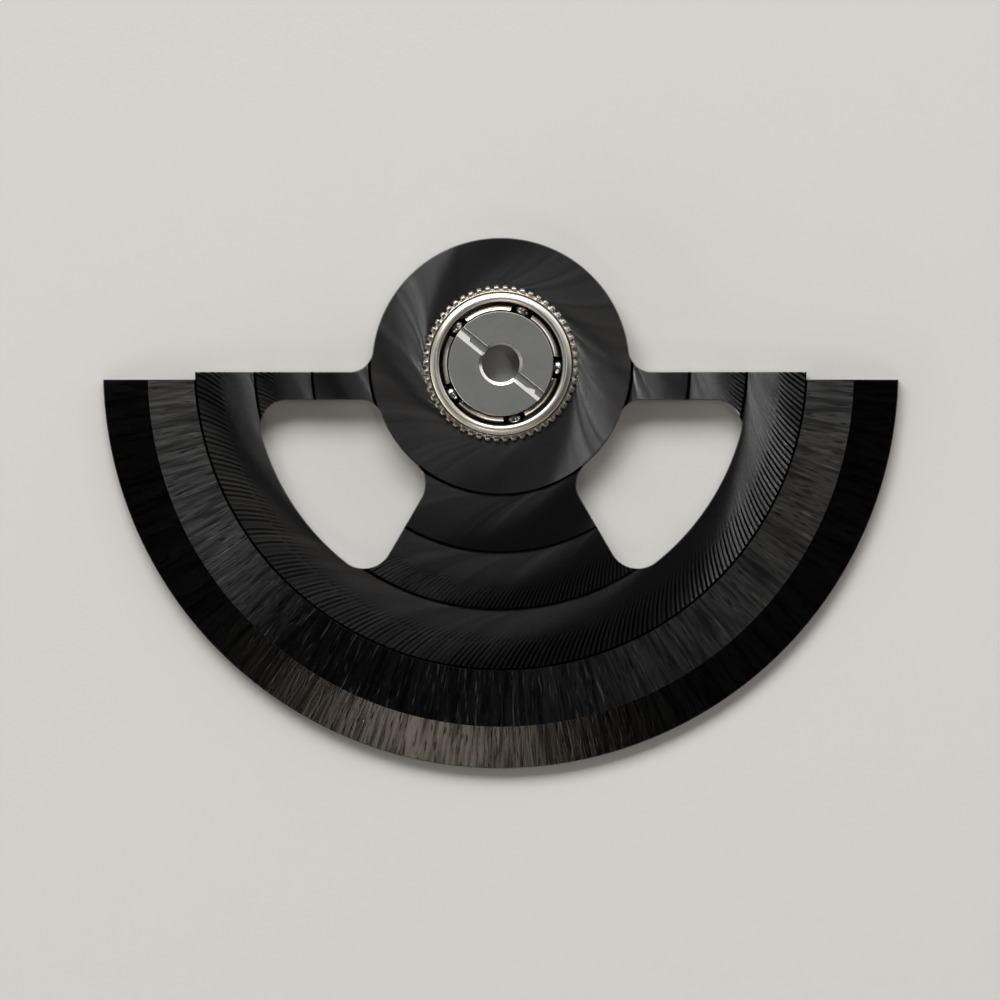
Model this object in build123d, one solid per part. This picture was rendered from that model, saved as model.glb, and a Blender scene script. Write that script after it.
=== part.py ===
from build123d import *
import math
import os

# Oscillating weight of a self-winding watch, with its ball bearing.
# It lies with the side that faces the movement up.
# The origin is on the rotation axis, in the plane that the part rests on.
# +Z is the rotation axis, and the weight hangs towards -Y. Lengths are in millimetres.

# Weight: a half ring whose outer edge and bevel are struck from lower centres
rim_flat_width = 1.54
rim_bevel_width = 1.48
rim_outer_offset = 0.22
bevel_offset = 0.33
rim_height = 0.96
rim_edge_height = 0.48
rim_end_drop = 0.52
edge_break = 0.05

# Plate outline
wing_drop = 0.27
arm_width = 0.90
arm_fillet = 0.75
hub_radius = 4.23
hub_offset = 0.10
web_neck_width = 5.02
web_root_width = 8.66
window_edge_gap = 0.05
window_outer_fillet = 0.42
window_hub_fillet = 0.28
window_neck_fillet = 0.30
window_root_fillet = 0.45

# Turned face of the plate: the hub, then three bands that step down, with a V groove before each
plate_recess = 0.15
hub_height = 1.02
hub_groove_gap = 0.08
inner_band_width = 1.89
middle_band_width = 1.87
outer_band_width = 1.96
band_step = 0.04
band_fall_share = 0.75
groove_width = 0.08
groove_depth = 0.05

# Lip of the plate under the weight, and the pins that are pressed through it and dressed flush
lip_width = 0.82
lip_thickness = 0.30
pin_count = 5
pin_span = 140
pin_radius = 0.25
pin_grip = 0.30

# Ball bearing
ball_count = 5
ball_radius = 0.28
ball_play = 0.015
ball_start_angle = -4
contact_angle = 30
pitch_radius = 1.88
race_seat_thickness = 0.12
race_seat_width = 0.13
race_wall = 0.11
race_lip_gap = 0.17
race_below_balls = 0.45
race_above_balls = 0.58
race_crown_height = 0.12
race_crown_flat_share = 0.4
core_lip_gap = 0.16
core_stand = 0.06
core_edge_break = 0.04
post_radius = 1.05
cap_thickness = 0.32
bore_radius = 0.62
bore_chamfer = 0.07
slot_angle = -39
slot_width = 0.30
slot_depth = 0.10
slot_end_length = 0.32
slot_end_depth = 0.16
cage_play = 0.03
cage_gap = 0.11
cage_base_thickness = 0.11
cage_finger_height = 0.40
pocket_play = 0.03
pocket_mouth_share = 0.96

# Winding gear, pressed on the race above the hub
gear_teeth = 54
gear_ring_wall = 0.08
gear_tooth_height = 0.15
gear_thickness = 0.15
gear_tooth_share = 0.52
gear_tip_share = 0.55

overrun = 1.0

hub_groove_radius = hub_radius + hub_groove_gap
inner_groove_radius = hub_groove_radius + inner_band_width
middle_groove_radius = inner_groove_radius + middle_band_width
plate_radius = middle_groove_radius + outer_band_width
window_radius = middle_groove_radius - window_edge_gap
bevel_radius = plate_radius + rim_flat_width
rim_outer_radius = bevel_radius + rim_bevel_width
lip_radius = plate_radius + lip_width
lip_top = plate_recess + lip_thickness
arm_floor = wing_drop + arm_width

track_reach = (ball_radius + ball_play) / math.cos(math.radians(contact_angle))
race_apex_radius = pitch_radius + track_reach
race_radius = race_apex_radius + race_wall
race_lip_radius = pitch_radius + race_lip_gap
race_floor = plate_recess + race_seat_thickness
ball_height = race_floor + race_below_balls
race_top = ball_height + race_above_balls
core_apex_radius = pitch_radius - track_reach
core_radius = pitch_radius - core_lip_gap
core_top = race_top + core_stand
post_top = core_top - cap_thickness


# Height of a track's edge above or below the balls' plane, for a lip at this gap from the pitch circle
def track_edge(lip_gap):
    angle = math.radians(contact_angle)
    return (ball_radius + ball_play - lip_gap * math.cos(angle)) / math.sin(angle)


# A solid turned about the rotation axis, from the (radius, height) corners of its section
def turned(*corners):
    return revolve(Plane.XZ * make_face(Polyline(*corners, close=True)), Axis.Z)


# Everything further from +Y than a line that lies this far below the axis
def below(drop, reach):
    return Pos(0, -drop - reach) * Rectangle(reach * 2, reach * 2)


def slab_below(drop, reach):
    return extrude(below(drop, reach), overrun + rim_height + hub_height)


# Section of the plate: each band starts a step below the last, falls outwards and ends at a V groove
def turned_plate():
    half = groove_width / 2
    fall = band_step * band_fall_share
    points = [(0, plate_recess), (0, hub_height)]
    height = hub_height
    for radius in (hub_groove_radius, inner_groove_radius, middle_groove_radius):
        points.append((radius - half, height))
        points.append((radius, height - groove_depth))
        height -= band_step - fall
        points.append((radius + half, height))
        height -= fall
    points += [(plate_radius, height), (plate_radius, plate_recess)]
    return turned(*points)


# The corner of a flat outline that lies nearest a point, rounded
def round_corner(outline, point, radius):
    corner = outline.vertices().sort_by_distance(point)[0]
    return fillet(corner, radius)


def hub_disc():
    return Pos(0, -hub_offset) * Circle(hub_radius)


def window():
    neck = web_neck_width / 2
    root = web_root_width / 2
    neck_drop = hub_offset + math.sqrt(hub_radius**2 - neck**2)
    root_drop = math.sqrt(window_radius**2 - root**2)
    flare = (root - neck) / (root_drop - neck_drop)
    foot = neck + flare * (window_radius - neck_drop)
    floor = -window_radius
    web = make_face(Polyline((0, -neck_drop), (neck, -neck_drop), (foot, floor), (0, floor), close=True))
    quarter = Pos(window_radius / 2, -arm_floor - window_radius / 2) * Rectangle(window_radius, window_radius)
    opening = (Circle(window_radius) & quarter) - hub_disc() - web
    outer_x = math.sqrt(window_radius**2 - arm_floor**2)
    hub_x = math.sqrt(hub_radius**2 - (arm_floor - hub_offset) ** 2)
    opening = round_corner(opening, (outer_x, -arm_floor), window_outer_fillet)
    opening = round_corner(opening, (hub_x, -arm_floor), window_hub_fillet)
    opening = round_corner(opening, (neck, -neck_drop), window_neck_fillet)
    return round_corner(opening, (root, -root_drop), window_root_fillet)


def plate_outline():
    outline = Circle(plate_radius) & below(wing_drop, plate_radius)
    outline += hub_disc()
    hub_x = math.sqrt(hub_radius**2 - (wing_drop - hub_offset) ** 2)
    for side in (-1, 1):
        outline = round_corner(outline, (side * hub_x, -wing_drop), arm_fillet)
    opening = window()
    return outline - opening - mirror(opening, Plane.YZ)


def rim_pin(number):
    angle = -90 + pin_span * ((number - 1) / (pin_count - 1) - 1 / 2)
    place = Rot(0, 0, angle) * Pos(plate_radius + lip_width / 2, 0, plate_recess)
    return place * extrude(Circle(pin_radius), lip_thickness + pin_grip)


def rotor_plate(pins):
    plate = extrude(plate_outline(), hub_height + overrun) & turned_plate()
    lip_root = (window_radius + plate_radius) / 2
    lip = turned(
        (lip_root, plate_recess),
        (lip_radius, plate_recess),
        (lip_radius, lip_top),
        (lip_root, lip_top),
    )
    plate += lip & slab_below(rim_end_drop, lip_radius)
    seat_radius = race_radius - race_seat_width
    plate -= turned(
        (0, 0),
        (seat_radius, 0),
        (seat_radius, race_floor),
        (race_radius, race_floor),
        (race_radius, hub_height + overrun),
        (0, hub_height + overrun),
    )
    for pin in pins:
        plate -= pin
    return plate


def rim_weight(pins):
    wall = extrude(Pos(0, -rim_outer_offset) * Circle(rim_outer_radius), rim_height)
    wall = chamfer(wall.edges().sort_by(Axis.Z)[0], edge_break)
    reach = rim_outer_radius + overrun
    slope = (rim_height - rim_edge_height) / rim_bevel_width
    bevel = turned(
        (0, 0),
        (reach, 0),
        (reach, rim_height - slope * (reach - bevel_radius)),
        (bevel_radius, rim_height),
        (0, rim_height),
    )
    weight = wall & Pos(0, -bevel_offset, 0) * bevel
    weight -= turned(
        (0, 0),
        (lip_radius, 0),
        (lip_radius, lip_top),
        (plate_radius, lip_top),
        (plate_radius, rim_height - edge_break),
        (plate_radius + edge_break, rim_height),
        (0, rim_height),
    )
    weight &= slab_below(rim_end_drop, reach)
    for pin in pins:
        weight -= pin
    return weight


def outer_race():
    track = track_edge(race_lip_gap)
    crown_foot = race_top - race_crown_height
    slope = (race_radius - race_lip_radius) * (1 - race_crown_flat_share) / 2
    return turned(
        (race_radius, crown_foot),
        (race_radius, race_floor),
        (race_lip_radius, race_floor),
        (race_lip_radius, ball_height - track),
        (race_apex_radius, ball_height),
        (race_lip_radius, ball_height + track),
        (race_lip_radius, crown_foot),
        (race_lip_radius + slope, race_top),
        (race_radius - slope, race_top),
    )


def winding_gear():
    root_radius = race_radius + gear_ring_wall
    tip_radius = root_radius + gear_tooth_height
    half = gear_tooth_share * math.pi * root_radius / gear_teeth
    tip_half = half * gear_tip_share
    foot = (race_radius + root_radius) / 2
    corners = [(foot, -half), (root_radius, -half), (tip_radius, -tip_half)]
    corners += [(radius, -side) for radius, side in reversed(corners)]
    tooth = make_face(Polyline(*corners, close=True))
    teeth = [Rot(0, 0, number * 360 / gear_teeth) * tooth for number in range(gear_teeth)]
    ring = (Circle(root_radius) + teeth) - Circle(race_radius)
    return Pos(0, 0, hub_height) * extrude(ring, gear_thickness)


def core_body():
    cone_foot = ball_height - track_edge(core_lip_gap)
    return turned(
        (bore_radius, 0),
        (core_radius, 0),
        (core_radius, cone_foot),
        (core_apex_radius, ball_height),
        (post_radius, ball_height),
        (post_radius, post_top),
        (bore_radius, post_top),
    )


def core_disc():
    cone_top = ball_height + track_edge(core_lip_gap)
    disc = turned(
        (post_radius, ball_height),
        (core_apex_radius, ball_height),
        (core_radius, cone_top),
        (core_radius, core_top - core_edge_break),
        (core_radius - core_edge_break, core_top),
        (bore_radius + bore_chamfer, core_top),
        (bore_radius, core_top - bore_chamfer),
        (bore_radius, post_top),
        (post_radius, post_top),
    )
    slot = Rectangle(core_radius * 2 + overrun, slot_width)
    disc -= Rot(0, 0, slot_angle) * Pos(0, 0, core_top - slot_depth) * extrude(slot, overrun)
    for side in (-1, 1):
        reach = side * (core_radius - slot_end_length / 2 + overrun / 2)
        end = Rectangle(slot_end_length + overrun, slot_width)
        notch = Pos(reach, 0, core_top - slot_end_depth) * extrude(end, overrun)
        disc -= Rot(0, 0, slot_angle) * notch
    return disc


def ball_angle(number):
    return ball_start_angle + (number - 1) * 360 / ball_count


def ball(number):
    return Rot(0, 0, ball_angle(number)) * Pos(pitch_radius, 0, ball_height) * Sphere(ball_radius)


# Crown cage: a ring under the balls, with fingers between them and a mouth that snaps over each ball
def ball_cage():
    inner = core_radius + cage_play
    outer = race_lip_radius - cage_gap
    pocket_radius = ball_radius + pocket_play
    floor = ball_height - pocket_radius - cage_base_thickness
    top = ball_height + cage_finger_height
    cage = turned((inner, floor), (outer, floor), (outer, top), (inner, top))
    mouth = ball_radius * 2 * pocket_mouth_share
    depth = overrun + outer
    for number in range(1, ball_count + 1):
        pocket = Pos(depth / 2, 0, ball_height) * Rot(0, 90, 0) * Cylinder(pocket_radius, depth)
        throat = Pos(depth / 2, 0, ball_height) * extrude(Rectangle(depth, mouth), overrun)
        cage -= Rot(0, 0, ball_angle(number)) * (pocket + throat)
    return cage


def main():
    pins = [rim_pin(number) for number in range(1, pin_count + 1)]
    pieces = {
        "rotor_plate": rotor_plate(pins),
        "rim_weight": rim_weight(pins),
        "outer_race": outer_race(),
        "winding_gear": winding_gear(),
        "core_body": core_body(),
        "core_disc": core_disc(),
        "ball_cage": ball_cage(),
    }
    for number, pin in enumerate(pins, start=1):
        pieces[f"rim_pin_{number}"] = pin
    for number in range(1, ball_count + 1):
        pieces[f"ball_{number}"] = ball(number)
    os.makedirs("parts", exist_ok=True)
    for name, piece in pieces.items():
        export_step(piece, f"parts/{name}.step")


main()
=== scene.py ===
import math

import bmesh
import bpy
import numpy as np
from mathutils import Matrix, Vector
from mathutils.geometry import delaunay_2d_cdt


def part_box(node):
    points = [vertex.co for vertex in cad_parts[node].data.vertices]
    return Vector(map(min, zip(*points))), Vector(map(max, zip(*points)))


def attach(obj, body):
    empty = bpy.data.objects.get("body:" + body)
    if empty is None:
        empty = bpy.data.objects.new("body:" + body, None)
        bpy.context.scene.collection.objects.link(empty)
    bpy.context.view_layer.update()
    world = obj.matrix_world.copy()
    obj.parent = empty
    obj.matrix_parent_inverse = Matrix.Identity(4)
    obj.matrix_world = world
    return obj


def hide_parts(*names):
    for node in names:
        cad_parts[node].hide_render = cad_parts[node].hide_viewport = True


# Oscillating weight of a self-winding watch, dressed over its frame.
# Shapes are worked out in millimetres and turned to metres as each mesh is made.
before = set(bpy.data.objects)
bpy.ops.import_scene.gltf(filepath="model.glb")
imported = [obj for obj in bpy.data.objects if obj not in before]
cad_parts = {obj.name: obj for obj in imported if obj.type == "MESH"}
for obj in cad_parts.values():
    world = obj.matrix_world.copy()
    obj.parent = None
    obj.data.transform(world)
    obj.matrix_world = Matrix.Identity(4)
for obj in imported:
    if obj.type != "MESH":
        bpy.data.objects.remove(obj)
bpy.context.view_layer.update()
mm = 0.001
joinDistance = 1e-5  # mesh points nearer than this are one point, in millimetres
cornerTries = 40  # steps in which a rounded corner's centre is found
print("frame loaded:", len(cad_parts), "nodes")


# Flat outlines

def boxOf(node):
    low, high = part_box(node)
    return low / mm, high / mm


def circlePoints(radius, centre=(0, 0), count=480):
    angles = np.arange(count) * 2 * math.pi / count
    return np.column_stack((centre[0] + radius * np.cos(angles), centre[1] + radius * np.sin(angles)))


def arcPoints(centre, first, last, step):
    centre = np.array(centre, float)
    start = math.atan2(*(first - centre)[::-1])
    sweep = math.atan2(*(last - centre)[::-1]) - start
    sweep = (sweep + math.pi) % (2 * math.pi) - math.pi
    radius = np.linalg.norm(first - centre)
    angles = start + sweep * np.linspace(0, 1, max(3, math.ceil(abs(sweep) * radius / step)))
    return centre + radius * np.column_stack((np.cos(angles), np.sin(angles)))


# Two arcs in a row, where one alone would take the shorter way round
def arcThrough(centre, first, middle, last, step):
    return [*arcPoints(centre, first, middle, step), *arcPoints(centre, middle, last, step)[1:]]


# The part of a circle that lies below the line y = -end, from right to left; drop is how far its centre lies
# below the axis
def lowerArc(radius, drop, end, step):
    half = math.sqrt(radius**2 - (end - drop)**2)
    right, left = (np.array((side * half, -end)) for side in (1, -1))
    return arcThrough((0, -drop), right, np.array((0, -drop - radius)), left, step)


def lineSide(point, inward):
    return {"point": np.array(point, float), "inward": np.array(inward, float) / np.linalg.norm(inward)}


def circleSide(centre, radius, inward=1):
    return {"centre": np.array(centre, float), "radius": radius, "inward": inward}


# How far a place lies inside a side, and the direction that leads further in
def depthIn(side, place):
    if "point" in side:
        return (place - side["point"]) @ side["inward"], side["inward"]
    away = place - side["centre"]
    reach = np.linalg.norm(away)
    return side["inward"] * (side["radius"] - reach), -side["inward"] * away / reach


# Sides joined in order. A corner is (radius, place nearby), and a negative radius rounds a hollow one;
# its arc has three times as many points as the sides
def outlineOf(sides, corners, step):
    joins = []
    for index, (radius, nearby) in enumerate(corners):
        one, two = sides[index], sides[(index + 1) % len(sides)]
        centre = np.array(nearby, float)
        for _ in range(cornerTries):
            (depthOne, leadOne), (depthTwo, leadTwo) = depthIn(one, centre), depthIn(two, centre)
            centre -= np.linalg.solve([leadOne, leadTwo], [depthOne - radius, depthTwo - radius])
        arrive, leave = (centre - radius * depthIn(side, centre)[1] for side in (one, two))
        joins.append((centre, radius, arrive, leave))
    points = []
    for index, (centre, radius, arrive, leave) in enumerate(joins):
        points += list(arcPoints(centre, arrive, leave, step / 3)) if radius else [arrive]
        side, ahead = sides[(index + 1) % len(sides)], joins[(index + 1) % len(joins)][2]
        if "centre" in side:
            points += list(arcPoints(side["centre"], leave, ahead, step)[1:-1])
    return np.array(points)


# A closed loop moved to its left by a small distance, which is inwards where it runs counter-clockwise
def insetLoop(loop, distance):
    ahead = np.roll(loop, -1, 0) - loop
    ahead /= np.linalg.norm(ahead, axis=1)[:, None]
    left = np.column_stack((-ahead[:, 1], ahead[:, 0]))
    before = np.roll(left, 1, 0)
    return loop + distance * (left + before) / (1 + np.sum(left * before, 1))[:, None]


# A closed loop with its long sides split
def spacedLoop(loop, step):
    points = []
    for start, end in zip(loop, np.roll(loop, -1, 0)):
        count = max(1, math.ceil(np.linalg.norm(end - start) / step))
        points += [start + (end - start) * index / count for index in range(count)]
    return np.array(points)


def turnsLeft(loop):
    x, y = loop.T
    return np.sum(x * np.roll(y, -1) - np.roll(x, -1) * y) > 0


def solidLoop(loop):
    return loop if turnsLeft(loop) else loop[::-1]


def holeLoop(loop):
    return loop[::-1] if turnsLeft(loop) else loop


def isWithin(places, loop):
    x, y = places.T
    found = np.zeros(len(places), bool)
    for (x1, y1), (x2, y2) in zip(loop, np.roll(loop, -1, 0)):
        if y1 != y2:
            found ^= ((y1 > y) != (y2 > y)) & (x < (x2 - x1) * (y - y1) / (y2 - y1) + x1)
    return found


def distanceTo(places, loops):
    nearest = np.full(len(places), np.inf)
    for loop in loops:
        for start, end in zip(loop, np.roll(loop, -1, 0)):
            along = end - start
            share = np.clip((places - start) @ along / (along @ along), 0, 1)
            nearest = np.minimum(nearest, np.linalg.norm(places - start - share[:, None] * along, axis=1))
    return nearest


# How far places lie from the axis, or from a point below it
def reachOf(places, drop=0):
    return np.linalg.norm(places + (0, drop), axis=1)


# How far a rounded edge lies below its face, at a distance from the edge
def roundDrop(distance, radius):
    inner = np.clip(radius - distance, 0, radius)
    return radius - np.sqrt(radius**2 - inner**2)


def roundInsets(radius, steps):
    return [radius * (1 - math.cos(math.pi / 2 * (index + 1) / steps)) for index in range(steps)]


# Meshes

# A solid over a plan: each triangle has a top and a bottom level, below zero for open air,
# and each level has one height, or a height for every place
def terraceMesh(lines, topLevel, topHeight, bottomLevel, bottomHeight):
    points, edges = [], []
    for line, closed in lines:
        first = len(points)
        points += [Vector(p) for p in line]
        edges += [(first + i, first + i + 1) for i in range(len(line) - 1)]
        if closed:
            edges.append((first + len(line) - 1, first))
    flat, _, triangles, *_ = delaunay_2d_cdt(points, edges, [], 0, joinDistance)
    flat = np.array([tuple(p) for p in flat])
    triangles = np.array(triangles)
    middles = flat[triangles].mean(1)
    tops, bottoms = topLevel(middles), bottomLevel(middles)
    kept = (tops >= 0) & (bottoms >= 0)
    triangles, tops, bottoms = triangles[kept], tops[kept], bottoms[kept]
    heights = {}
    for side, levels, heightOf in (("top", tops, topHeight), ("bottom", bottoms, bottomHeight)):
        for level in set(levels):
            heights[side, level] = np.broadcast_to(heightOf(level, flat), len(flat))
    vertices, places = [], {}

    def vertexAt(index, side, level):
        key = (index, side, level)
        if key not in places:
            places[key] = len(vertices)
            vertices.append((*flat[index], heights[side, level][index]))
        return places[key]

    faces, owners = [], {}

    def addWall(a, b, below, above):
        faces.append([vertexAt(a, *below), vertexAt(b, *below), vertexAt(b, *above), vertexAt(a, *above)])

    for number, triangle in enumerate(triangles):
        a, b, c = (int(v) for v in triangle)
        faces.append([vertexAt(v, "top", tops[number]) for v in (a, b, c)])
        faces.append([vertexAt(v, "bottom", bottoms[number]) for v in (c, b, a)])
        for edge in ((a, b), (b, c), (c, a)):
            owners[edge] = number
    for (a, b), number in owners.items():
        other = owners.get((b, a))
        top, bottom = tops[number], bottoms[number]
        if other is None:
            addWall(a, b, ("bottom", bottom), ("top", top))
            continue
        if a < b and tops[other] != top:
            addWall(a, b, ("top", tops[other]), ("top", top))
        if a < b and bottoms[other] != bottom:
            addWall(a, b, ("bottom", bottom), ("bottom", bottoms[other]))
    return np.array(vertices), faces


# A ring turned about Z; profileAt gives the (radius, height) points at an angle, counter-clockwise
def ringMesh(profileAt, count):
    rings = np.array([profileAt(2 * math.pi * index / count) for index in range(count)])
    angles = np.arange(count)[:, None] * 2 * math.pi / count
    radii, heights = rings[:, :, 0], rings[:, :, 1]
    vertices = np.stack((radii * np.cos(angles), radii * np.sin(angles), heights), -1).reshape(-1, 3)
    size = rings.shape[1]
    faces = []
    for ring in range(count):
        here, ahead = ring * size, (ring + 1) % count * size
        for corner in range(size):
            above = (corner + 1) % size
            faces.append([here + corner, ahead + corner, ahead + above, here + above])
    return vertices, faces


# A ring turned from a section with rounded corners: each corner is (radius, height, rounding)
def turnedMesh(corners, count, steps=5):
    points = []
    for index, (radius, height, rounding) in enumerate(corners):
        corner = np.array((radius, height))
        if not rounding:
            points.append(corner)
            continue
        back = np.array(corners[index - 1][:2]) - corner
        ahead = np.array(corners[(index + 1) % len(corners)][:2]) - corner
        back, ahead = back / np.linalg.norm(back), ahead / np.linalg.norm(ahead)
        half = math.acos(np.clip(back @ ahead, -1, 1)) / 2
        centre = corner + (back + ahead) / np.linalg.norm(back + ahead) * rounding / math.sin(half)
        first, last = (corner + way * rounding / math.tan(half) for way in (back, ahead))
        for share in np.linspace(0, 1, steps):
            way = first * (1 - share) + last * share - centre
            points.append(centre + way / np.linalg.norm(way) * rounding)
    return ringMesh(lambda angle: points, count)


def newObject(name, data):
    made = bpy.data.objects.new(name, data)
    bpy.context.scene.collection.objects.link(made)
    return made


def smoothObject(mesh, shape, material):
    for face in shape.faces:
        face.smooth = True
    shape.to_mesh(mesh)
    shape.free()
    mesh.materials.append(material)
    return newObject(mesh.name, mesh)


def addPiece(name, vertices, faces, body, nodes, material, sharpAngle=32):
    mesh = bpy.data.meshes.new(name)
    mesh.from_pydata(np.asarray(vertices, float).tolist(), [], faces)
    shape = bmesh.new()
    shape.from_mesh(mesh)
    bmesh.ops.remove_doubles(shape, verts=shape.verts, dist=joinDistance)
    bmesh.ops.dissolve_degenerate(shape, edges=shape.edges, dist=joinDistance)
    bmesh.ops.scale(shape, verts=shape.verts, vec=(mm, mm, mm))
    piece = smoothObject(mesh, shape, material)
    mesh.set_sharp_from_angle(angle=math.radians(sharpAngle))
    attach(piece, body)
    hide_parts(*nodes)
    print("piece", name, len(mesh.polygons), "faces")


# Node trees

numberKind, colorKind = "NodeSocketFloat", "NodeSocketColor"


# A value in a node tree: sums, products and comparisons of such values become Math nodes
class Field:
    def __init__(self, socket):
        self.socket = socket

    def __add__(self, other):
        return calc("ADD", self, other)

    def __radd__(self, other):
        return calc("ADD", other, self)

    def __sub__(self, other):
        return calc("SUBTRACT", self, other)

    def __rsub__(self, other):
        return calc("SUBTRACT", other, self)

    def __mul__(self, other):
        return calc("MULTIPLY", self, other)

    def __truediv__(self, other):
        return calc("DIVIDE", self, other)

    def __gt__(self, other):
        return calc("GREATER_THAN", self, other)

    def __lt__(self, other):
        return calc("LESS_THAN", self, other)


def treeOf(*values):
    return next(value.socket.id_data for value in values if isinstance(value, Field))


def feed(socket, value):
    if isinstance(value, Field):
        socket.id_data.links.new(value.socket, socket)
    elif isinstance(value, tuple):  # a colour
        socket.default_value = (*value, 1)
    else:
        socket.default_value = value


def give(sockets, **values):
    for label, value in values.items():
        feed(sockets[label], value)


def calc(operation, *values, clamp=False):
    node = treeOf(*values).nodes.new("ShaderNodeMath")
    node.operation = operation
    node.use_clamp = clamp
    for socket, value in zip(node.inputs, values):
        feed(socket, value)
    return Field(node.outputs[0])


def most(*values):
    found = values[0]
    for value in values[1:]:
        found = calc("MAXIMUM", found, value)
    return found


def remap(value, low, high, newLow=0.0, newHigh=1.0, smooth=False):
    node = treeOf(value).nodes.new("ShaderNodeMapRange")
    node.interpolation_type = "SMOOTHSTEP" if smooth else "LINEAR"
    for socket, given in zip(node.inputs, (value, low, high, newLow, newHigh)):
        feed(socket, given)
    return Field(node.outputs["Result"])


def combine(x, y, z):
    node = treeOf(x, y, z).nodes.new("ShaderNodeCombineXYZ")
    for socket, value in zip(node.inputs, (x, y, z)):
        feed(socket, value)
    return Field(node.outputs[0])


def noiseAt(place, scale, detail=2.0, roughness=0.5):
    node = treeOf(place).nodes.new("ShaderNodeTexNoise")
    give(node.inputs, Vector=place, Scale=scale, Detail=detail, Roughness=roughness)
    return Field(node.outputs["Fac"])


def blendColour(share, first, second):
    node = treeOf(share).nodes.new("ShaderNodeMix")
    node.data_type = "RGBA"
    give(node.inputs, Factor=share, A=first, B=second)
    return Field(node.outputs["Result"])


def bumpOf(height, distance, normal=None):
    node = treeOf(height).nodes.new("ShaderNodeBump")
    give(node.inputs, Distance=distance, Height=height)
    if normal is not None:
        feed(node.inputs["Normal"], normal)
    return Field(node.outputs[0])


def objectPlace(tree):
    return Field(tree.nodes.new("ShaderNodeTexCoord").outputs["Object"])


# X, Y and Z of a place in metres, in millimetres
def partsOf(place):
    node = treeOf(place).nodes.new("ShaderNodeSeparateXYZ")
    feed(node.inputs[0], place)
    return [Field(socket) / mm for socket in node.outputs]


# Inputs are labels with their usual values, and outputs are labels with their kinds
def newGroup(name, inputs, outputs):
    tree = bpy.data.node_groups.new(name, "ShaderNodeTree")
    for label, value in inputs.items():
        kind = colorKind if isinstance(value, tuple) else numberKind
        feed(tree.interface.new_socket(label, in_out="INPUT", socket_type=kind), value)
    for label, kind in outputs.items():
        tree.interface.new_socket(label, in_out="OUTPUT", socket_type=kind)
    sockets = tree.nodes.new("NodeGroupInput").outputs
    given = {label: Field(sockets[label]) for label in inputs}
    return tree, given, tree.nodes.new("NodeGroupOutput").inputs


def placeGroup(tree, group, **values):
    node = tree.nodes.new("ShaderNodeGroup")
    node.node_tree = group
    give(node.inputs, **values)
    return {socket.name: Field(socket) for socket in node.outputs}


def newMaterial(name, metallic, roughness, anisotropic=0.0):
    material = bpy.data.materials.new(name)
    material.use_nodes = True
    shader = material.node_tree.nodes["Principled BSDF"].inputs
    give(shader, Metallic=metallic, Roughness=roughness, Anisotropic=anisotropic)
    return material, material.node_tree, shader


# Radius and angle about the rotation axis, in millimetres and radians
def makePolarGroup():
    labels = ("Radius", "Angle", "Across", "Up", "Height")
    tree, _, outputs = newGroup("polarPlace", {}, dict.fromkeys(labels, numberKind))
    x, y, z = partsOf(objectPlace(tree))
    give(outputs, Radius=calc("SQRT", x * x + y * y), Angle=calc("ARCTAN2", y, x), Across=x, Up=y, Height=z)
    return tree


strokeValues = {
    # each layer of streaks: how often it repeats along and across a stroke, where it starts, and its noise
    "layers": {
        "fine": {"along": 1.0, "across": 1.0, "start": 0.0, "detail": 1.0, "roughness": 0.5},
        "medium": {"along": 0.6, "across": 0.36, "start": 7.3, "detail": 1.5, "roughness": 0.5},
        "broad": {"along": 0.35, "across": 0.09, "start": 3.1, "detail": 2.0, "roughness": 0.5},
        "cut": {"along": 1.8, "across": 0.6, "start": 11.9, "detail": 1.5, "roughness": 0.45},
        "ridge": {"along": 1.5, "across": 0.8, "start": 19.4, "detail": 1.5, "roughness": 0.45},
    },
    "mediumShare": 0.78,
    "deepSink": 0.3,
    "deepRange": (0.57, 0.70),
    "softRange": (0.42, 0.66),
    # the ridge streaks that the weight paints light as highlights
    "brightRange": (0.60, 0.76),
    "toneRange": (0.3, 0.7),
}


# Fine strokes that run along one direction: streaks of noise, and a few deeper ones
def makeStrokeGroup():
    v = strokeValues
    tree, given, outputs = newGroup(
        "finishStrokes", {"Along": 0.0, "Across": 0.0, "Length": 1.0, "Width": 0.05, "DeepShare": 0.3},
        dict.fromkeys(("Height", "Deep", "Soft", "Bright", "Tone"), numberKind))
    along = given["Along"] / given["Length"]
    across = given["Across"] / given["Width"]
    layers = {}
    for name, layer in v["layers"].items():
        place = combine(along * layer["along"], across * layer["across"], layer["start"])
        layers[name] = noiseAt(place, 1.0, layer["detail"], layer["roughness"])
    deep = remap(layers["cut"], *v["deepRange"]) * given["DeepShare"]
    height = layers["fine"] * (1 - v["mediumShare"]) + layers["medium"] * v["mediumShare"]
    give(outputs, Height=height - deep * v["deepSink"], Deep=deep,
         Soft=remap(layers["medium"], *v["softRange"]), Bright=remap(layers["ridge"], *v["brightRange"]),
         Tone=remap(layers["broad"], *v["toneRange"]))
    return tree


coatingValues = {
    "driftScale": 330.0,
    "driftRange": (0.35, 0.65),
    "grainScale": 9000.0,
    "grainRoughness": 0.6,
    "grainShare": 0.4,
    "dustScale": 1100.0,
    "dustSize": (0.07, 0.035),
    "dustPatchScale": 700.0,
    "dustPatchFrom": 0.72,
}


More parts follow.
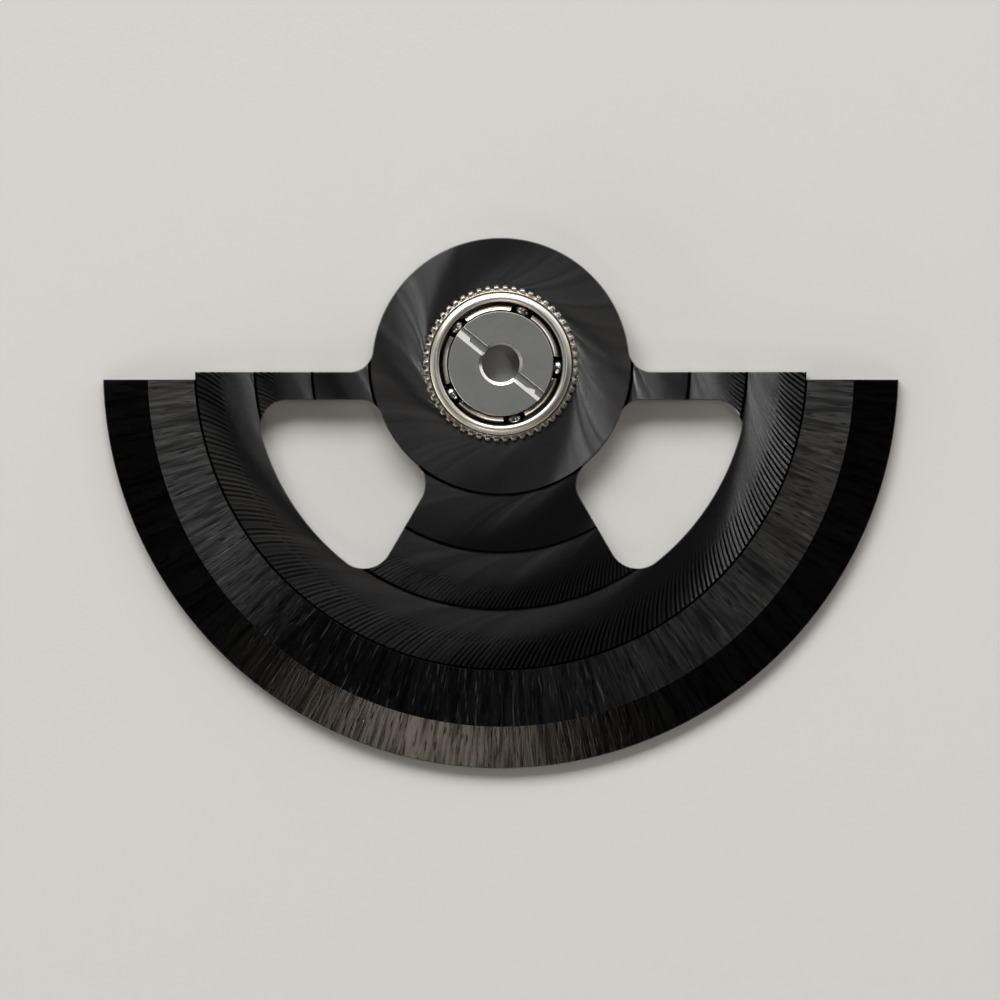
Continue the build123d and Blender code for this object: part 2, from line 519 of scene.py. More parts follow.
# Black coating: a slow drift of tone, a fine grain and a few specks of dust
def makeCoatingGroup():
    v = coatingValues
    tree, given, outputs = newGroup(
        "blackCoating", {"Dark": (0.004, 0.004, 0.004), "Light": (0.010, 0.010, 0.010),
                         "DustColor": (0.25, 0.24, 0.22), "DustShare": 1.0},
        {"Color": colorKind, "Grain": numberKind, "Dust": numberKind})
    place = objectPlace(tree)
    drift = remap(noiseAt(place, v["driftScale"]), *v["driftRange"])
    grain = noiseAt(place, v["grainScale"], roughness=v["grainRoughness"])
    cells = tree.nodes.new("ShaderNodeTexVoronoi")
    give(cells.inputs, Scale=v["dustScale"], Vector=place)
    chosen = noiseAt(place, v["dustPatchScale"], detail=0.0) > v["dustPatchFrom"]
    speck = remap(Field(cells.outputs["Distance"]), *v["dustSize"]) * chosen * given["DustShare"]
    tone = drift * (1 - v["grainShare"]) + grain * v["grainShare"]
    toned = blendColour(tone, given["Dark"], given["Light"])
    give(outputs, Color=blendColour(speck, toned, given["DustColor"]), Grain=grain, Dust=speck)
    return tree


metalValues = {
    "stainScale": 900.0,
    "stainDetail": 3.0,
    "stainRange": (0.4, 0.65),
    "grainScale": 14000.0,
    "grainRoughness": 0.6,
    "grainShare": 0.5,
}


# Bare metal: a slow stain and a fine grain
def makeMetalGroup():
    v = metalValues
    tree, given, outputs = newGroup(
        "bareMetal", {"Clean": (0.6, 0.58, 0.54), "Stained": (0.5, 0.46, 0.38),
                      "Smooth": 0.1, "Rough": 0.2},
        {"Color": colorKind, "Roughness": numberKind, "Height": numberKind})
    place = objectPlace(tree)
    stain = remap(noiseAt(place, v["stainScale"], v["stainDetail"]), *v["stainRange"])
    grain = noiseAt(place, v["grainScale"], roughness=v["grainRoughness"])
    mixed = stain * (1 - v["grainShare"]) + grain * v["grainShare"]
    give(outputs, Color=blendColour(stain, given["Clean"], given["Stained"]),
         Roughness=remap(mixed, 0.0, 1.0, given["Smooth"], given["Rough"]), Height=grain)
    return tree


polarGroup = makePolarGroup()
strokeGroup = makeStrokeGroup()
coatingGroup = makeCoatingGroup()
metalGroup = makeMetalGroup()
print("finish groups made")


# Direction across the strokes, for a stretched highlight: the circle's own direction, turned by an angle
def strokeTangent(polar, sine, cosine):
    x, y = polar["Across"], polar["Up"]
    way = combine(x * sine - y * cosine, x * cosine + y * sine, 0.0)
    turn = treeOf(way).nodes.new("ShaderNodeVectorTransform")
    turn.vector_type = "VECTOR"
    turn.convert_from, turn.convert_to = "OBJECT", "WORLD"
    feed(turn.inputs[0], way)
    unit = treeOf(way).nodes.new("ShaderNodeVectorMath")
    unit.operation = "NORMALIZE"
    feed(unit.inputs[0], Field(turn.outputs[0]))
    return Field(unit.outputs[0])


# colour painted as shade deep in the bearing's recesses
paintedShadeColor = (0.06, 0.05, 0.04)


# Bare metal of one finish. It may be turned, with strokes that run round the axis, and may be painted
# darker between two depths below the top of the piece that replaces the node, as painted shade in its
# recesses
def makeMetal(name, finish, node):
    material, tree, shader = newMaterial(name, 1.0, finish["smooth"])
    polar = placeGroup(tree, polarGroup)
    metal = placeGroup(tree, metalGroup, Clean=finish["clean"], Stained=finish["stained"],
                       Smooth=finish["smooth"], Rough=finish["rough"])
    color = metal["Color"]
    # painted shade: the colour darkens with depth below the top
    if "paintedShadeDepths" in finish:
        top = boxOf(node)[1].z
        lit = remap(polar["Height"], *(top - depth for depth in finish["paintedShadeDepths"]))
        color = blendColour(lit, paintedShadeColor, color)
    normal = bumpOf(metal["Height"], finish["grain"] * mm)
    if "strokes" in finish:
        strokes = finish["strokes"]
        turned = placeGroup(tree, strokeGroup, Along=polar["Angle"], Across=polar["Radius"],
                            Length=strokes["length"], Width=strokes["width"])
        normal = bumpOf(turned["Height"], strokes["depth"] * mm, normal)
    feed(shader["Base Color"], color)
    give(shader, Roughness=metal["Roughness"], Normal=normal)
    return material


# The plate: hub disc, two arms and a web, turned in bands that step down outwards

plateValues = {
    "hubRadius": 4.23,
    "hubDrop": 0.10,
    "hubHeight": 1.02,
    "wingDrop": 0.27,
    "armWidth": 0.92,
    "armFillet": 0.75,
    "webNeckWidth": 4.40,
    "webRootWidth": 8.37,
    "windowRadius": 8.15,
    "windowDrop": 0.14,
    "windowFillets": (0.86, 0.95, 0.90, 0.64),  # arm to rim, rim to web, web to hub, hub to arm
    "radius": 10.03,
    "recess": 0.15,
    "grooves": (4.31, 6.20, 8.07),
    "grooveWidth": 0.08,
    "grooveDepth": 0.05,
    "bandStep": 0.04,
    "bandFallShare": 0.1,
    "seatRadius": 2.3306,
    "seatLipRadius": 2.2006,
    "seatHeight": 0.27,
    "lipRadius": 10.85,
    "lipTop": 0.45,
    "lipDrop": 0.52,
    "edgeRound": 0.03,
    "outlineStep": 0.06,
    "seatSides": 240,
    "sharpAngle": 8,
}

pinValues = {
    "count": 5,
    "span": 140,
    "circle": 10.44,
    "radius": 0.25,
    "edgeRound": 0.02,
    "seam": 0.004,
    "sides": 48,
}


def pinPlaces():
    count = pinValues["count"]
    for number in range(count):
        angle = math.radians(-90 + pinValues["span"] * (number / (count - 1) - 0.5))
        yield number + 1, (pinValues["circle"] * math.cos(angle), pinValues["circle"] * math.sin(angle))


def pinCircles():
    return [circlePoints(pinValues["radius"], place, pinValues["sides"]) for _, place in pinPlaces()]


def bandHeight(radii):
    v = plateValues
    half = v["grooveWidth"] / 2
    fall = v["bandStep"] * v["bandFallShare"]
    knotRadii, knotHeights, height = [0], [v["hubHeight"]], v["hubHeight"]
    for groove in v["grooves"]:
        knotRadii += [groove - half, groove, groove + half]
        knotHeights += [height, height - v["grooveDepth"], height - v["bandStep"] + fall]
        height -= v["bandStep"]
    knotRadii.append(v["radius"])
    knotHeights.append(height)
    return np.interp(radii, knotRadii, knotHeights)


def windowOutline():
    v = plateValues
    armFloor = v["wingDrop"] + v["armWidth"]
    neck, root = v["webNeckWidth"] / 2, v["webRootWidth"] / 2
    neckDrop = v["hubDrop"] + math.sqrt(v["hubRadius"]**2 - neck**2)
    rootDrop = v["windowDrop"] + math.sqrt(v["windowRadius"]**2 - root**2)
    sides = [
        lineSide((0, -armFloor), (0, -1)),
        circleSide((0, -v["windowDrop"]), v["windowRadius"]),
        lineSide((neck, -neckDrop), (rootDrop - neckDrop, root - neck)),
        circleSide((0, -v["hubDrop"]), v["hubRadius"], -1),
    ]
    outerX = math.sqrt(v["windowRadius"]**2 - armFloor**2)
    hubX = math.sqrt(v["hubRadius"]**2 - (armFloor - v["hubDrop"])**2)
    places = ((outerX, -armFloor), (root, -rootDrop), (neck, -neckDrop), (hubX, -armFloor))
    return outlineOf(sides, list(zip(v["windowFillets"], places)), v["outlineStep"])


def plateOutline():
    v = plateValues
    hubX = math.sqrt(v["hubRadius"]**2 - (v["wingDrop"] - v["hubDrop"])**2)
    sides = [
        lineSide((0, -v["wingDrop"]), (0, -1)),
        circleSide((0, 0), v["radius"]),
        lineSide((0, -v["wingDrop"]), (0, -1)),
        circleSide((0, -v["hubDrop"]), v["hubRadius"]),
    ]
    corners = [
        (0, (v["radius"], -v["wingDrop"])),
        (0, (-v["radius"], -v["wingDrop"])),
        (-v["armFillet"], (-hubX - v["armFillet"], v["armFillet"])),
        (-v["armFillet"], (hubX + v["armFillet"], v["armFillet"])),
    ]
    return outlineOf(sides, corners, v["outlineStep"])


def buildPlate(material):
    v = plateValues
    outer = solidLoop(plateOutline())
    window = windowOutline()
    windows = [holeLoop(window), holeLoop(window * (-1, 1))]
    seat, seatLip = (holeLoop(circlePoints(v[name], count=v["seatSides"]))
                     for name in ("seatRadius", "seatLipRadius"))
    pins = [holeLoop(loop) for loop in pinCircles()]
    inLip, end = (v["radius"] + v["windowRadius"]) / 2, v["lipDrop"]
    lip = np.array([(inLip, -end), *lowerArc(v["lipRadius"], 0, end, v["outlineStep"]), (-inLip, -end)])
    edgeLoops = [outer, *windows, seat]
    lines = [(loop, True) for loop in (*edgeLoops, seatLip, *pins)]
    lines += [(insetLoop(loop, v["edgeRound"]), True) for loop in edgeLoops]
    lines.append((lip, False))
    half = v["grooveWidth"] / 2
    for groove in v["grooves"]:
        lines += [(circlePoints(groove + offset), True) for offset in (-half, 0, half)]

    def topLevel(places):
        inPlate = isWithin(places, outer)
        level = np.where(inPlate, 0, np.where(isWithin(places, lip), 2, -1))
        level[isWithin(places, seat)] = 1
        for hole in (seatLip, *windows, *pins):
            level[isWithin(places, hole)] = -1
        return level

    def topHeight(level, places):
        if level == 1:
            return v["seatHeight"]
        if level == 2:
            return v["lipTop"]
        edge = np.clip(v["edgeRound"] - distanceTo(places, edgeLoops), 0, None)
        return bandHeight(reachOf(places)) - edge

    def bottomLevel(places):
        return np.zeros(len(places), int)

    vertices, faces = terraceMesh(lines, topLevel, topHeight, bottomLevel, lambda *_: v["recess"])
    addPiece("turned_plate", vertices, faces, "rotor", ["rotor_plate"], material,
             v["sharpAngle"])


# Snailing: each line is an arc of a circle that touches the band's inner edge, and each band starts afresh
snailValues = {
    "linesPerTurn": 336,
    "arcRadius": 5.1,
    "hubStart": 2.45,
    "lineDepth": 0.0004,
    "scallopShare": 0.2,
    "gapFrom": 0.44,
    "gapTo": 0.10,
    "gapShadeTone": (0.0050, 0.0050, 0.0048),
    "gapRoughness": 0.40,
    "fullGap": 0.8,
    "grooveShadeTone": (0.001, 0.001, 0.001),
    "fadeFrom": 0.12,
    "fadeTo": 0.80,
    "leastFade": 0.05,
    "thinFrom": 0.02,
    "thinTo": 0.80,
    "chance": (0.92, 1.06),
    "hubShare": 0.12,
    "swirlDepth": 0.020,
    "swirlNoise": (4.2, 2.6, 0.6),  # scale, detail and roughness
    "bandShift": 0.37,
    "roughness": 0.14,
    "outerRoughness": 0.145,
    "roughNoise": (9.0, 5.0, 0.6),
    "roughDrift": (0.3, 0.7, -0.02, 0.025),
    "dustRoughness": 0.4,
    "anisotropic": 1.0,
    "ior": 2.9,
    "grooveReach": 0.065,
    "edgeReach": 0.045,
    "darkShare": 0.6,
    "hubTone": ((0.010, 0.010, 0.010), (0.024, 0.0235, 0.023)),
    "bandTone": ((0.0026, 0.0026, 0.0026), (0.0058, 0.0057, 0.0055)),
}


def makePlateMaterial():
    v, s = plateValues, snailValues
    material, tree, shader = newMaterial("blackSnailedPlate", 0.0, s["roughness"], s["anisotropic"])
    shader["IOR"].default_value = s["ior"]
    polar = placeGroup(tree, polarGroup)
    radius = polar["Radius"]

    # the radii between which the band at this place lies
    edges = (s["hubStart"], *v["grooves"], v["radius"])
    start, end = edges[:2]
    for before, edge, after in zip(edges, edges[1:], edges[2:]):
        beyond = radius > edge
        start = start + beyond * (edge - before)
        end = end + beyond * (after - edge)

    # where the line through this place starts, and the sine and cosine of its slant
    arc = s["arcRadius"]
    reach = start + arc
    swept = (radius * radius + reach * reach - arc**2) / (radius * 2.0 * reach)
    bearing = polar["Angle"] + calc("ARCCOSINE", calc("MINIMUM", swept, 1.0))
    sine = (reach * reach - arc**2 - radius * radius) / (radius * (2 * arc))
    sine = calc("MAXIMUM", calc("MINIMUM", sine, 1.0), -1.0)
    cosine = calc("SQRT", calc("SUBTRACT", 1.0, sine * sine, clamp=True))

    # the line's number, and how far across it this place lies
    phase = bearing * (s["linesPerTurn"] / (2 * math.pi))
    number = calc("FLOORED_MODULO", calc("FLOOR", phase), float(s["linesPerTurn"]))
    centred = calc("FRACT", phase) - 0.5
    scallop = centred * centred * 4.0
    chance = tree.nodes.new("ShaderNodeTexWhiteNoise")
    chance.noise_dimensions = "1D"
    feed(chance.inputs["W"], number)

    # a gap between lines is narrow where it starts and widens outwards
    fade = remap((radius - start) / (end - start), s["fadeFrom"], s["fadeTo"], smooth=True)
    outside = remap(radius, v["grooves"][0], v["grooves"][2], s["hubShare"], 1.0)
    strength = remap(fade, s["thinFrom"], s["thinTo"]) * outside
    strength = strength * remap(Field(chance.outputs["Value"]), 0.0, 1.0, *s["chance"])
    gaps = remap(scallop / most(fade, s["leastFade"]), s["gapFrom"], s["gapTo"], smooth=True) * strength
    lines = scallop * strength * s["scallopShare"] - gaps

    # painted shade: the V grooves, and the plate's outer edge where it meets the weight, are painted near
    # black and lose their shine
    grooveShade = remap(v["radius"] - radius, s["edgeReach"], s["edgeReach"] * s["darkShare"])
    for groove in v["grooves"]:
        away = calc("ABSOLUTE", radius - groove)
        grooveShade = most(grooveShade, remap(away, s["grooveReach"], s["grooveReach"] * s["darkShare"]))

    onHub = radius < v["grooves"][0]
    dark, light = (blendColour(onHub, band, hub) for band, hub in zip(s["bandTone"], s["hubTone"]))
    coating = placeGroup(tree, coatingGroup, Dark=dark, Light=light)
    # painted shade in the gaps between snailing lines: they lose their shine, so they stay dark under any
    # lamp
    color = blendColour(gaps, coating["Color"], s["gapShadeTone"])
    feed(shader["Base Color"], blendColour(grooveShade, color, s["grooveShadeTone"]))
    feed(shader["Metallic"], most(grooveShade, gaps))

    swirl = combine(calc("COSINE", bearing), calc("SINE", bearing), start * s["bandShift"])
    rough = remap(radius, v["grooves"][1], v["grooves"][2], s["roughness"], s["outerRoughness"])
    rough = rough + remap(noiseAt(swirl, *s["roughNoise"]), *s["roughDrift"])
    rough = rough + coating["Dust"] * s["dustRoughness"]
    feed(shader["Roughness"], remap(gaps, s["fullGap"], 1.0, rough, s["gapRoughness"]))
    normal = bumpOf(lines, s["lineDepth"] * mm)
    normal = bumpOf(noiseAt(swirl, *s["swirlNoise"]), s["swirlDepth"] * mm, normal)
    give(shader, Normal=normal, Tangent=strokeTangent(polar, sine, cosine))
    return material


# The weight: a half ring, flat inside and bevelled outside, brushed along its radii

weightValues = {
    "innerRadius": 10.03,
    "flatFall": 0.040,  # the flat falls this much outwards for each millimetre
    "bevelRadius": 11.57,
    "bevelDrop": 0.33,
    "outerRadius": 13.05,
    "outerDrop": 0.22,
    "height": 0.96,
    "edgeHeight": 0.48,
    "endDrop": 0.52,
    "innerChamfer": 0.05,
    "topEdge": 0.025,
    "stepHeight": 0.45,
    "pinCeiling": 0.75,
    "outlineStep": 0.08,
    "sharpAngle": 14,
}


def buildWeight(material):
    v = weightValues
    end, step = v["endDrop"], v["outlineStep"]
    inner = lowerArc(v["innerRadius"], 0, end, step)
    outer = lowerArc(v["outerRadius"], v["outerDrop"], end, step)
    outline = solidLoop(np.array([*outer, *inner[::-1]]))
    stepArc = np.array(lowerArc(plateValues["lipRadius"], 0, end, step))
    bevelArc = np.array(lowerArc(v["bevelRadius"], v["bevelDrop"], end, step))
    pins = pinCircles()
    insets = [insetLoop(outline, v[name]) for name in ("topEdge", "innerChamfer")]
    lines = [(loop, True) for loop in (outline, *insets)]
    lines += [(bevelArc, False), (stepArc, False), *((pin, True) for pin in pins)]
    slope = (v["height"] - v["edgeHeight"]) / (v["outerRadius"] - v["bevelRadius"]) - v["flatFall"]
    shelf = np.array([*stepArc, *inner[::-1]])

    def topLevel(places):
        return np.where(isWithin(places, outline), 0, -1)

    def topHeight(_, places):
        beyond = reachOf(places, v["bevelDrop"]) - v["bevelRadius"]
        fromInner = reachOf(places) - v["innerRadius"]
        height = v["height"] - v["flatFall"] * fromInner - slope * np.clip(beyond, 0, None)
        edge = np.clip(v["topEdge"] - distanceTo(places, [outline]), 0, None)
        return height - np.maximum(edge, np.clip(v["innerChamfer"] - fromInner, 0, None))

    def bottomLevel(places):
        level = np.where(isWithin(places, shelf), 1, 0)
        for pin in pins:
            level[isWithin(places, pin)] = 2
        return level

    def bottomHeight(level, places):
        if level:
            return v["pinCeiling"] if level == 2 else v["stepHeight"]
        return np.clip(v["innerChamfer"] - (v["outerRadius"] - reachOf(places, v["outerDrop"])), 0, None)

    vertices, faces = terraceMesh(lines, topLevel, topHeight, bottomLevel, bottomHeight)
    addPiece("bevelled_weight", vertices, faces, "rotor", ["rim_weight"], material,
             v["sharpAngle"])


brushValues = {
    "length": 1.0,
    "width": 0.055,
    "depth": 0.026,
    "bevelDepthShare": 0.4,
    "bevelShift": 37.0,
    "flatRoughness": 0.36,
    "bevelRoughness": 0.145,
    "roughDrift": (0.86, 1.16),
    "anisotropic": 1.0,
    "specular": 0.60,
    "coatTone": ((0.0008, 0.0008, 0.0008), (0.0020, 0.0019, 0.0018)),
    "shadeTone": (0.001, 0.001, 0.001),
    "bevelShade": 0.08,
    "deepShare": 0.75,
    "softShare": 0.62,
    "glintTone": (0.050, 0.049, 0.048),
    "glintShare": 0.9,
    "bevelGlintShare": 0.06,
    "jointReach": 0.05,
    "darkShare": 0.6,
}


def makeWeightMaterial():
    v, b = weightValues, brushValues
    material, tree, shader = newMaterial("blackBrushedWeight", 0.0, b["flatRoughness"], b["anisotropic"])
    shader["Specular IOR Level"].default_value = b["specular"]
    polar = placeGroup(tree, polarGroup)
    dropped = polar["Up"] + v["bevelDrop"]
    onBevel = calc("SQRT", polar["Across"] * polar["Across"] + dropped * dropped) > v["bevelRadius"]

    # the flat and the bevel are brushed apart, so their strokes don't line up
    along = polar["Radius"] + onBevel * b["bevelShift"]
    strokes = placeGroup(tree, strokeGroup, Along=along, Across=polar["Angle"] * v["bevelRadius"],
                         Length=b["length"], Width=b["width"], DeepShare=b["deepShare"])
    # painted shade at the joint with the plate: the weight darkens near its inner edge
    joint = remap(polar["Radius"] - v["innerRadius"], b["jointReach"], b["jointReach"] * b["darkShare"])
    shade = most(strokes["Deep"], strokes["Soft"] * b["softShare"], joint, onBevel * b["bevelShade"])
    # painted highlight: light streaks painted into the colour along some strokes, faint on the bevel
    bright = strokes["Bright"] * remap(onBevel, 0.0, 1.0, b["glintShare"], b["bevelGlintShare"])
    bright = bright * (1.0 - shade)

    dark, light = b["coatTone"]
    coating = placeGroup(tree, coatingGroup, Dark=dark, Light=light)
    color = blendColour(shade, coating["Color"], b["shadeTone"])
    feed(shader["Base Color"], blendColour(bright, color, b["glintTone"]))
    rough = remap(onBevel, 0.0, 1.0, b["flatRoughness"], b["bevelRoughness"])
    rough = rough * remap(strokes["Tone"], 0.0, 1.0, *b["roughDrift"])
    height = strokes["Height"] * remap(onBevel, 0.0, 1.0, 1.0, b["bevelDepthShare"])
    give(shader, Metallic=shade, Roughness=rough, Normal=bumpOf(height, b["depth"] * mm),
         Tangent=strokeTangent(polar, 0.0, 1.0))
    return material


pinFinish = {"roughness": 0.4, "roughDrift": (0.34, 0.5), "length": 0.9, "width": 0.03, "depth": 0.002}


def buildPins(material):
    v = pinValues
    low, high = boxOf("rim_pin_1")
    radius, rounding = v["radius"] - v["seam"], v["edgeRound"]
    vertices, faces = turnedMesh([
        (0, low.z, 0), (radius, low.z, rounding), (radius, high.z, rounding), (0, high.z, 0)], v["sides"])
    for number, place in pinPlaces():
        addPiece(f"pressed_pin_{number}", vertices + (*place, 0), faces, "rotor", [f"rim_pin_{number}"],
                 material)


def makePinMaterial():
    v = pinFinish
    material, tree, shader = newMaterial("blackDressedPin", 0.0, v["roughness"])
    x, y, _ = partsOf(objectPlace(tree))
    strokes = placeGroup(tree, strokeGroup, Along=x, Across=y, Length=v["length"], Width=v["width"])
    coating = placeGroup(tree, coatingGroup)
    feed(shader["Base Color"], coating["Color"])
    give(shader, Roughness=remap(strokes["Tone"], 0.0, 1.0, *v["roughDrift"]),
         Normal=bumpOf(strokes["Height"], v["depth"] * mm))
    return material


# Ball bearing: outer race with its crowned lip, core with a slotted disc, crown cage and balls

bearingValues = {
    "pitchRadius": 1.88,
    "ballHeight": 0.72,
    "coreApex": 1.5394,
    "coreTrack": 0.313,
    "coreRadius": 1.72,
    "postRadius": 1.05,
    "boreRadius": 0.62,
}

raceValues = {
    "lip": 2.05,
    "apex": 2.2206,
    "track": 0.296,
    "footRound": 0.02,
    "crownFall": 0.120,
    "crownRound": 0.075,
    "crownPeak": 0.07,
    "peakRound": 0.16,
    "crownInnerFall": 0.07,
    "lipRound": 0.025,
    "roundSteps": 7,
    "sides": 256,
    "sharpAngle": 40,
}

raceFinish = {
    "clean": (0.88, 0.86, 0.82),
    "stained": (0.78, 0.73, 0.64),
    "smooth": 0.28,
    "rough": 0.40,
    "grain": 0.0006,
    "strokes": {"length": 0.8, "width": 0.03, "depth": 0.0012},
    "paintedShadeDepths": (0.20, 0.12),
}


def buildRace(material):
    v = raceValues
    low, high = boxOf("outer_race")
    radius, lip, middle = high.x, v["lip"], bearingValues["ballHeight"]
    vertices, faces = turnedMesh([
        (lip, middle + v["track"], 0),
        (v["apex"], middle, 0),
        (lip, middle - v["track"], 0),
        (lip, low.z, v["footRound"]),
        (radius, low.z, v["footRound"]),
        (radius, high.z - v["crownFall"], v["crownRound"]),
        (lip + v["crownPeak"], high.z, v["peakRound"]),
        (lip, high.z - v["crownInnerFall"], v["lipRound"]),
    ], v["sides"], v["roundSteps"])
    addPiece("crowned_race", vertices, faces, "rotor", ["outer_race"], material,
             v["sharpAngle"])


gearValues = {
    "teeth": 54,
    "rootRadius": 2.4106,
    "tipRadius": 2.5606,
    "toothShare": 0.64,
    "flankShare": 0.55,
    "rootRaise": 0.05,
    "stepsPerTooth": 16,
    "edgeRound": 0.10,
    "edgeSteps": 5,
    "rootEdge": 0.015,
    "cornerShare": 0.6,
    "valleyDrop": 0.05,
    "foot": 0.02,
    "collarInset": 0.02,
    "collarDrop": 0.01,
    "gap": 0.012,
    "gapChamfer": 0.03,
    "gapDepth": 0.07,
    "seatDepth": 0.075,
    "sharpAngle": 50,
}

gearFinish = {
    "clean": (0.46, 0.44, 0.40),
    "stained": (0.36, 0.31, 0.24),
    "smooth": 0.22,
    "rough": 0.36,
    "grain": 0.0012,
    "paintedShadeDepths": (0.16, 0.07),
}


def buildGear(material):
    v = gearValues
    low, high = boxOf("winding_gear")
    inner = boxOf("outer_race")[1].x
    lip = inner + v["gap"]

    def sectionAt(angle):
        turn = (angle * v["teeth"] / (2 * math.pi) + 0.5) % 1 - 0.5
        rise = min(1.0, max(0.0, (v["toothShare"] - abs(turn) * 2) / v["flankShare"] + 0.5))
        rise = rise * rise * (3 - 2 * rise)
        root = v["rootRadius"] + v["rootRaise"]
        outer = root + (v["tipRadius"] - root) * rise
        top = high.z - v["valleyDrop"] * (1 - rise)
        edge = min(v["edgeRound"], outer - v["rootRadius"] + v["rootEdge"])
        steep = v["cornerShare"] + (1 - v["cornerShare"]) * math.cos(math.pi * turn)**2
        points = [(inner, low.z), (outer - v["foot"], low.z), (outer, low.z + v["foot"])]
        for lean in np.linspace(0, math.pi / 2, v["edgeSteps"]):
            points.append((outer - edge * (1 - math.cos(lean)), top - edge * (1 - math.sin(lean)) * steep))
        points += [
            (v["rootRadius"] - v["collarInset"], high.z - v["collarDrop"]),
            (lip + v["gapChamfer"], high.z),
            (lip, high.z - v["gapChamfer"]),
            (lip, high.z - v["gapDepth"]),
            (inner, high.z - v["seatDepth"]),
        ]
        return points

    vertices, faces = ringMesh(sectionAt, v["teeth"] * v["stepsPerTooth"])
    addPiece("winding_ring", vertices, faces, "rotor", ["winding_gear"], material,
             v["sharpAngle"])


coreValues = {"boreRound": 0.04, "footRound": 0.05, "postRound": 0.02, "sides": 192}

coreFinish = {
    "clean": (0.27, 0.275, 0.27),
    "stained": (0.21, 0.215, 0.215),
    "smooth": 0.42,
    "rough": 0.55,
    "grain": 0.0012,
    "strokes": {"length": 0.6, "width": 0.02, "depth": 0.0006},
}


def buildCoreBody(material):
    v, b = coreValues, bearingValues
    low, high = boxOf("core_body")
    vertices, faces = turnedMesh([
        (b["boreRadius"], low.z, v["boreRound"]),
        (b["coreRadius"], low.z, v["footRound"]),
        (b["coreRadius"], b["ballHeight"] - b["coreTrack"], 0),
        (b["coreApex"], b["ballHeight"], 0),
        (b["postRadius"], b["ballHeight"], 0),
        (b["postRadius"], high.z, v["postRound"]),
        (b["boreRadius"], high.z, 0),
    ], v["sides"])
    addPiece("core_base", vertices, faces, "core", ["core_body"], material)


discValues = {
    "edgeRound": 0.03,
    "edgeMiddle": 0.3,
    "boreChamfer": 0.10,
    "boreChamferDepth": 0.058,
    "slotAngle": -39,
    "slotUpper": 0.16,
    "slotLower": 0.20,
    "slotDepth": 0.15,
    "slotEdge": 0.015,
    "rampSlope": 0.49,
    # how far along the slot, and the far side of the ramp there
    "rampEdge": ((-1.8, 0.0), (-1.55, 0.09), (-1.34, 0.09), (-1.25, -0.08),
                 (1.15, -0.08), (1.42, 0.05), (1.48, -0.07), (1.8, -0.08)),
    "outlineStep": 0.03,
    "rimSides": 240,
    "boreSides": 120,
    "sharpAngle": 12,
}


def buildCoreDisc(material):
    v, b = discValues, bearingValues
    top = boxOf("core_disc")[1].z
    turn = math.radians(v["slotAngle"])
    along = np.array((math.cos(turn), math.sin(turn)))
    beside = np.array((-math.sin(turn), math.cos(turn)))
    rim, bore = b["coreRadius"], b["boreRadius"]
    rampReach, rampEdge = np.array(v["rampEdge"]).T

    # the two halves of the face, one on each side of the slot
    islands = []
    for side, reach in ((1, v["slotUpper"]), (-1, v["slotLower"])):
        loop = []
        for radius, way in ((rim, -1), (bore, 1)):
            half = math.sqrt(radius**2 - reach**2)
            ends = [side * reach * beside + way * half * along, side * reach * beside - way * half * along]
            middle = side * radius * beside
            loop += arcThrough((0, 0), ends[0], middle, ends[1], v["outlineStep"])
        islands.append(solidLoop(np.array(loop)))

    outer = solidLoop(circlePoints(rim, count=v["rimSides"]))
    hole = holeLoop(circlePoints(bore, count=v["boreSides"]))
    lines = [(outer, True), (hole, True)]
    for loop in islands:
        lines += [(loop, True), (insetLoop(loop, v["slotEdge"]), True)]
    for radius in (rim - v["edgeRound"], rim - v["edgeRound"] * v["edgeMiddle"], bore + v["boreChamfer"],
                   b["postRadius"], b["coreApex"]):
        lines.append((circlePoints(radius, count=v["rimSides"]), True))
    lines.append((np.array([reach * along + edge * beside for reach, edge in v["rampEdge"]]), False))

    # the slot's lower side is a ramp, wider towards its ends
    def onRamp(places):
        return places @ beside < np.interp(places @ along, rampReach, rampEdge)

    def topLevel(places):
        level = np.where(onRamp(places), 2, 1)
        for loop in islands:
            level[isWithin(places, loop)] = 0
        level[~isWithin(places, outer) | isWithin(places, hole)] = -1
        return level

    def topHeight(level, places):
        if level == 1:
            return top - v["slotDepth"]
        radii = reachOf(places)
        slope = v["boreChamferDepth"] / v["boreChamfer"]
        chamfer = np.clip(bore + v["boreChamfer"] - radii, 0, None) * slope
        if level == 2:
            ramp = v["rampSlope"] * np.clip(places @ beside + v["slotLower"], 0, None)
            return top - np.maximum(chamfer, ramp)
        fromSlot = np.abs(places @ beside - v["slotUpper"])
        drop = np.maximum(roundDrop(rim - radii, v["edgeRound"]), chamfer)
        return top - np.maximum(drop, np.clip(v["slotEdge"] - fromSlot, 0, None))

    def bottomLevel(places):
        return np.where(reachOf(places) < b["postRadius"], 0, 1)

    def bottomHeight(level, places):
        if not level:
            return boxOf("core_body")[1].z
        rise = b["coreTrack"] / (rim - b["coreApex"])
        return b["ballHeight"] + rise * np.clip(reachOf(places) - b["coreApex"], 0, None)

    vertices, faces = terraceMesh(lines, topLevel, topHeight, bottomLevel, bottomHeight)
    addPiece("slotted_disc", vertices, faces, "core", ["core_disc"], material, v["sharpAngle"])


# Grey disc whose cut edges, between two depths under its face, are left bright; below them the bore wall
# is painted near black as shade in the hole
discFinish = {
    "grey": (0.324, 0.329, 0.319),
    "stainShare": 0.8,
    "roughness": 0.47,
    "roughRange": (0.42, 0.55),
    "bright": (0.86, 0.85, 0.81),
    "brightFrom": 0.003,
    "brightTo": 0.1485,
    "brightRough": 0.24,
    "boreShadeColor": (0.02, 0.016, 0.013),
    "boreReach": 0.01,
    "grain": 0.0014,
}


